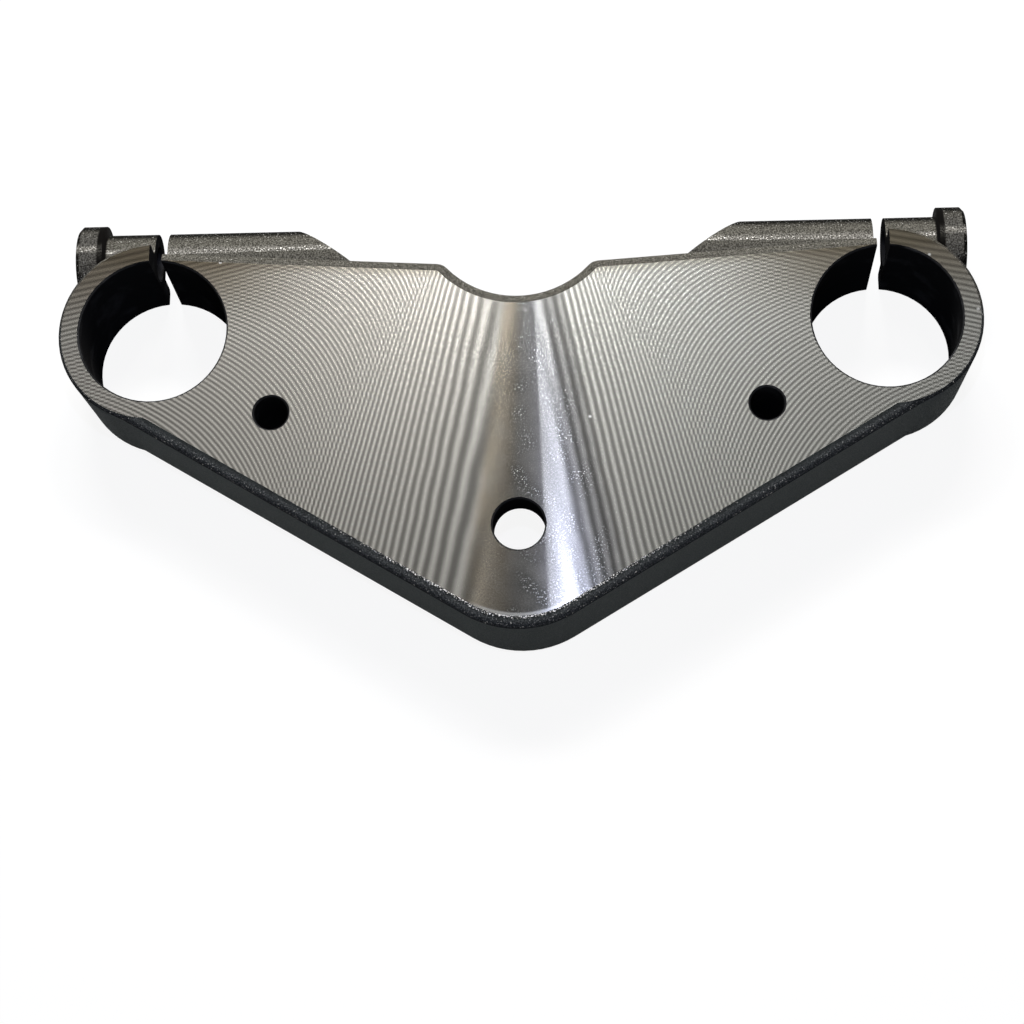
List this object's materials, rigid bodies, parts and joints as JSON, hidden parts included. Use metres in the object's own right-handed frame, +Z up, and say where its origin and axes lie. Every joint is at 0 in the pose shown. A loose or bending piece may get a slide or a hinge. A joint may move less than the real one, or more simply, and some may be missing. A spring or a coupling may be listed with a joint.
{
  "type": "motorcycle triple clamp",
  "caption": "Cast upper fork yoke with split fork clamps, pinch-bolt barrels behind them, a steering-stem hole at the apex, riser holes, a cored underside and a faced top.",
  "frame": {"origin": "on the steering-stem axis in the faced top", "axes": "+Z up out of the faced top, +X along the fork line, +Y from the stem towards the fork tubes"},
  "size_m": [0.2168, 0.1052, 0.028],
  "materials": {
    "casting": "faced top with turning marks, dark as-cast walls"
  },
  "bodies": {
    "root": {"triple_clamp": "casting"}
  },
  "joints": []
}
